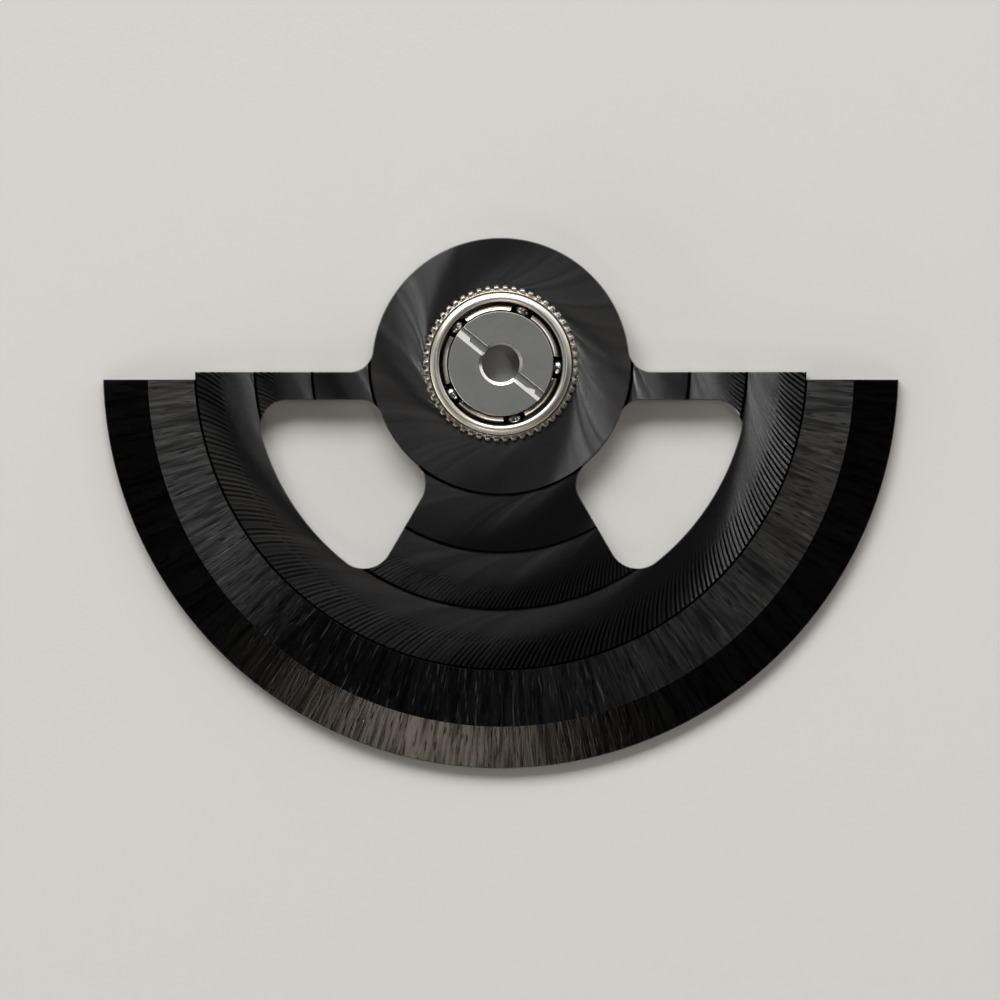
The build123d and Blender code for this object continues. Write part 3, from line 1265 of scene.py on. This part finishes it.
def makeDiscMaterial():
    v = discFinish
    material, tree, shader = newMaterial("greyDisc", 1.0, v["roughness"])
    polar = placeGroup(tree, polarGroup)
    top = boxOf("core_disc")[1].z
    smooth, rough = v["roughRange"]
    stained = tuple(channel * v["stainShare"] for channel in v["grey"])
    metal = placeGroup(tree, metalGroup, Clean=v["grey"], Stained=stained, Smooth=smooth, Rough=rough)
    above = polar["Height"] > top - v["brightTo"]
    cut = (polar["Height"] < top - v["brightFrom"]) * above
    # painted shade: the bore wall below the bright cut edge is painted near black
    inBore = (1.0 - above) * (polar["Radius"] < bearingValues["boreRadius"] + v["boreReach"])
    color = blendColour(cut, metal["Color"], v["bright"])
    feed(shader["Base Color"], blendColour(inBore, color, v["boreShadeColor"]))
    give(shader, Roughness=remap(cut, 0.0, 1.0, metal["Roughness"], v["brightRough"]),
         Normal=bumpOf(metal["Height"], v["grain"] * mm))
    return material


cageValues = {
    "balls": 5,
    "startAngle": -4,
    "play": 0.03,
    "pocketPlay": 0.03,
    "mouth": 0.36,
    "tipRound": 0.07,
    # the crown's two slopes: depth below the top, and how far the wall has drawn back there
    "topProfile": ((0, 0.190), (0.053, 0.090), (0.083, 0.035), (0.115, 0)),
    "innerProfile": ((0, 0.02), (0.02, 0)),
    "edgeRound": 0.035,
    "innerRoundShare": 0.6,
    "roundSteps": 3,
    "step": 0.02,
    "longestSide": 0.03,
    "columnStep": 0.03,
    "columnInset": 0.001,
    "rowStep": 0.05,
    "lowRow": 0.22,
    "seamReach": 0.2,
    "sharpAngle": 14,
}

cageFinish = {
    "clean": (0.86, 0.84, 0.79),
    "stained": (0.74, 0.68, 0.56),
    "smooth": 0.14,
    "rough": 0.24,
    "grain": 0.0010,
    "paintedShadeDepths": (0.22, 0.08),
}

ballValues = {"radius": 0.28, "cuts": 11, "sharpAngle": 60}

ballFinish = {
    "clean": (0.70, 0.69, 0.67),
    "stained": (0.60, 0.59, 0.56),
    "smooth": 0.20,
    "rough": 0.28,
    "grain": 0.0001,
}


def ballAngle(number):
    return math.radians(cageValues["startAngle"] + (number - 1) * 360 / cageValues["balls"])


# The cage's outline unrolled, along its circle and up its height: each pocket is an arc below its ball,
# and widens in straight lines to a mouth with rounded tips
def cageOutline(pitch, low, high):
    v = cageValues
    height, rounding, step = bearingValues["ballHeight"], v["tipRound"], v["step"]
    pocket = ballValues["radius"] + v["pocketPlay"]
    reach, rise = v["mouth"] + rounding, high - rounding - height
    lean = math.atan2(rise, reach) - math.acos((pocket + rounding) / math.hypot(reach, rise))
    toward = [np.array((side * math.cos(lean), math.sin(lean))) for side in (1, -1)]
    loop = [(-pitch / 2, low), (v["balls"] * pitch - pitch / 2, low)]
    for number in range(v["balls"], 0, -1):
        centre = np.array(((number - 1) * pitch, height))
        bottom = centre - (0, pocket)
        tips = [centre + (side * reach, rise) for side in (1, -1)]
        tops = [tip + (0, rounding) for tip in tips]
        heels = [tip - direction * rounding for tip, direction in zip(tips, toward)]
        lips = [centre + direction * pocket for direction in toward]
        loop.append((centre[0] + pitch / 2, high))
        loop += [*arcPoints(tips[0], tops[0], heels[0], step),
                 *arcThrough(centre, lips[0], bottom, lips[1], step),
                 *arcPoints(tips[1], heels[1], tops[1], step)]
    loop.append((-pitch / 2, high))
    return spacedLoop(solidLoop(np.array(loop)), v["longestSide"])


# The cage is drawn unrolled, with its wall as height, and then bent round the axis
def buildCage(material):
    v = cageValues
    low, high = boxOf("ball_cage")
    outer = high.x
    inner = bearingValues["coreRadius"] + v["play"]
    middle = (inner + outer) / 2
    pitch = 2 * math.pi * middle / v["balls"]
    outline = cageOutline(pitch, low.z, high.z)
    seams = (-pitch / 2, v["balls"] * pitch - pitch / 2)
    depths, leans = np.array(v["topProfile"]).T
    innerDepths, innerLeans = np.array(v["innerProfile"]).T
    insets = [insetLoop(outline, distance) for distance in roundInsets(v["edgeRound"], v["roundSteps"])]
    lines = [(loop, True) for loop in (outline, *insets)]
    for x in np.arange(seams[0] + v["columnStep"], seams[1], v["columnStep"]):
        lines.append((np.array([(x, low.z + v["columnInset"]), (x, high.z - v["columnInset"])]), False))
    for depth in (*depths[1:], *innerDepths[1:], v["lowRow"]):
        lines.append((np.array([(x, high.z - depth) for x in np.arange(*seams, v["rowStep"])]), False))

    def edgeDrop(places):
        fromEnds = distanceTo(places, [outline])
        toSeam = np.minimum(np.abs(places[:, 0] - seams[0]), np.abs(places[:, 0] - seams[1]))
        upright = np.minimum(places[:, 1] - low.z, high.z - places[:, 1])
        return roundDrop(np.where(toSeam < v["seamReach"], upright, fromEnds), v["edgeRound"])

    def level(places):
        return np.where(isWithin(places, outline), 0, -1)

    def outerHeight(_, places):
        return outer - np.maximum(edgeDrop(places), np.interp(high.z - places[:, 1], depths, leans))

    def innerHeight(_, places):
        lean = np.interp(high.z - places[:, 1], innerDepths, innerLeans)
        return inner + np.maximum(edgeDrop(places) * v["innerRoundShare"], lean)

    vertices, faces = terraceMesh(lines, level, outerHeight, level, innerHeight)
    onSeam = [np.abs(vertices[:, 0] - seam) < joinDistance for seam in seams]
    faces = [face for face in faces if not any(all(seam[corner] for corner in face) for seam in onSeam)]
    along, upward, radii = vertices.T
    angles = along / middle + ballAngle(1)
    bent = np.column_stack((radii * np.cos(angles), radii * np.sin(angles), upward))
    addPiece("crown_cage", bent, faces, "cage", ["ball_cage"], material, v["sharpAngle"])


def buildBalls(material):
    v = ballValues
    shape = bmesh.new()
    bmesh.ops.create_cube(shape, size=1)
    bmesh.ops.subdivide_edges(shape, edges=shape.edges, cuts=v["cuts"], use_grid_fill=True)
    vertices = np.array([vertex.co.normalized() * v["radius"] for vertex in shape.verts])
    faces = [[vertex.index for vertex in face.verts] for face in shape.faces]
    shape.free()
    pitchRadius = bearingValues["pitchRadius"]
    for number in range(1, cageValues["balls"] + 1):
        turn = ballAngle(number)
        place = (pitchRadius * math.cos(turn), pitchRadius * math.sin(turn), bearingValues["ballHeight"])
        addPiece(f"steel_ball_{number}", vertices + place, faces, f"ball_{number}", [f"ball_{number}"],
                 material, v["sharpAngle"])


# Studio: a pale floor that rises to a low backdrop, soft lamps, and the camera over the piece

studioValues = {
    "floorColor": (0.74, 0.73, 0.705),
    "floorDarker": 0.95,
    "floorNoise": (9.0, 2.0),
    "floorRoughness": 0.75,
    "floorRadius": 0.9,
    "floorSides": 96,
    "backdropRadius": 1.5,
    "backdropHeight": 0.7,
    "bendSteps": 12,
    "worldColor": (0.009, 0.009, 0.010),
    # each lamp: turn from +X and lean from straight up, in degrees; distance and sizes in metres; radiance
    "lamps": {
        "windowLamp": {"turn": 105, "lean": 47, "distance": 1.0, "width": 1.0, "height": 0.46,
                       "radiance": 7.4, "color": (1.0, 0.99, 0.975)},
        "sideLamp": {"turn": 42, "lean": 66, "distance": 1.0, "width": 1.2, "height": 0.56,
                     "radiance": 1.0, "color": (1.0, 0.99, 0.975)},
        "ceilingLamp": {"turn": 24, "lean": 14, "distance": 1.2, "width": 0.17, "height": 0.05,
                        "radiance": 16.0, "color": (1.0, 0.99, 0.98)},
        "ceilingEdge": {"turn": 50, "lean": 14, "distance": 1.2, "width": 0.10, "height": 0.05,
                        "radiance": 4.5, "color": (1.0, 0.99, 0.98)},
        "roomCard": {"turn": -150, "lean": 78, "distance": 1.0, "width": 0.9, "height": 0.34,
                     "radiance": 2.4, "color": (1.0, 0.985, 0.96)},
        "leftCard": {"turn": 180, "lean": 52, "distance": 1.0, "width": 0.5, "height": 0.32,
                     "radiance": 0.5, "color": (1.0, 0.99, 0.98)},
        "lowerCard": {"turn": -90, "lean": 48, "distance": 1.0, "width": 0.8, "height": 0.10,
                      "radiance": 2.0, "color": (1.0, 0.97, 0.93)},
        "warmCard": {"turn": -101, "lean": 36, "distance": 1.0, "width": 0.20, "height": 0.18,
                     "radiance": 4.4, "color": (1.0, 0.85, 0.70)},
    },
    "cameraHeight": 0.6,
    "sensorWidth": 36,
    "clip": (0.005, 10),
    "pictureSide": 1000,
    "pixelsPerMillimetre": 30.5,
    "pivotPixel": (500.8, 363.7),  # where the rotation axis lies in the picture
    "focusHeight": 0.95,
}


def makeStudioMaterial():
    v = studioValues
    material, tree, shader = newMaterial("paleFloor", 0.0, v["floorRoughness"])
    drift = noiseAt(objectPlace(tree), *v["floorNoise"])
    darker = tuple(channel * v["floorDarker"] for channel in v["floorColor"])
    feed(shader["Base Color"], blendColour(drift, v["floorColor"], darker))
    return material


def buildStudio():
    v = studioValues
    spread, rise = v["floorRadius"], v["backdropHeight"]
    bend = v["backdropRadius"] - spread
    section = [(spread, 0.0)]
    for index in range(1, v["bendSteps"] + 1):
        turn = math.pi / 2 * index / v["bendSteps"]
        section.append((spread + bend * math.sin(turn), rise * (1 - math.cos(turn))))
    count = v["floorSides"]
    turns = [2 * math.pi * index / count for index in range(count)]
    shape = bmesh.new()
    rings = [[shape.verts.new((radius * math.cos(turn), radius * math.sin(turn), height)) for turn in turns]
             for radius, height in section]
    middle = shape.verts.new((0, 0, 0))
    for j in range(count):
        shape.faces.new((middle, rings[0][j], rings[0][(j + 1) % count]))
    for lower, upper in zip(rings, rings[1:]):
        for j in range(count):
            shape.faces.new((lower[j], upper[j], upper[(j + 1) % count], lower[(j + 1) % count]))
    floor = smoothObject(bpy.data.meshes.new("studio_floor"), shape, makeStudioMaterial())


def addLamp(name, turn, lean, distance, width, height, radiance, color):
    light = bpy.data.lights.new(name, "AREA")
    light.shape = "RECTANGLE"
    light.size, light.size_y = width, height
    light.energy = radiance * math.pi * width * height
    light.color = color
    lamp = newObject(name, light)
    up = math.radians(lean)
    side = math.radians(turn)
    away = Vector((math.sin(up) * math.cos(side), math.sin(up) * math.sin(side), math.cos(up)))
    lamp.location = away * distance
    lamp.rotation_euler = away.to_track_quat("Z", "Y").to_euler()
    lamp.visible_camera = False


def buildLight():
    for name, values in studioValues["lamps"].items():
        addLamp(name, **values)
    world = bpy.data.worlds.new("studio")
    world.use_nodes = True
    world.node_tree.nodes["Background"].inputs["Color"].default_value = (*studioValues["worldColor"], 1)
    bpy.context.scene.world = world


def buildCamera():
    v = studioValues
    camera = bpy.data.cameras.new("camera")
    pixel = mm / v["pixelsPerMillimetre"]
    side, (pivotX, pivotY) = v["pictureSide"], v["pivotPixel"]
    centre = ((side / 2 - pivotX) * pixel, (pivotY - side / 2) * pixel)
    camera.sensor_width = v["sensorWidth"]
    camera.lens = camera.sensor_width * (v["cameraHeight"] - v["focusHeight"] * mm) / (side * pixel)
    camera.clip_start, camera.clip_end = v["clip"]
    viewer = newObject("camera", camera)
    viewer.location = (*centre, v["cameraHeight"])
    bpy.context.scene.camera = viewer


def buildAll():
    buildPlate(makePlateMaterial())
    buildWeight(makeWeightMaterial())
    buildPins(makePinMaterial())
    buildRace(makeMetal("polishedRace", raceFinish, "outer_race"))
    buildGear(makeMetal("nickelGear", gearFinish, "winding_gear"))
    buildCoreBody(makeMetal("greyCore", coreFinish, "core_body"))
    buildCoreDisc(makeDiscMaterial())
    buildCage(makeMetal("paleCage", cageFinish, "ball_cage"))
    buildBalls(makeMetal("bearingBall", ballFinish, "ball_1"))
    buildStudio()
    buildLight()
    buildCamera()
    settings = bpy.context.scene.view_settings
    settings.view_transform = "Standard"
    print("scene built")


buildAll()
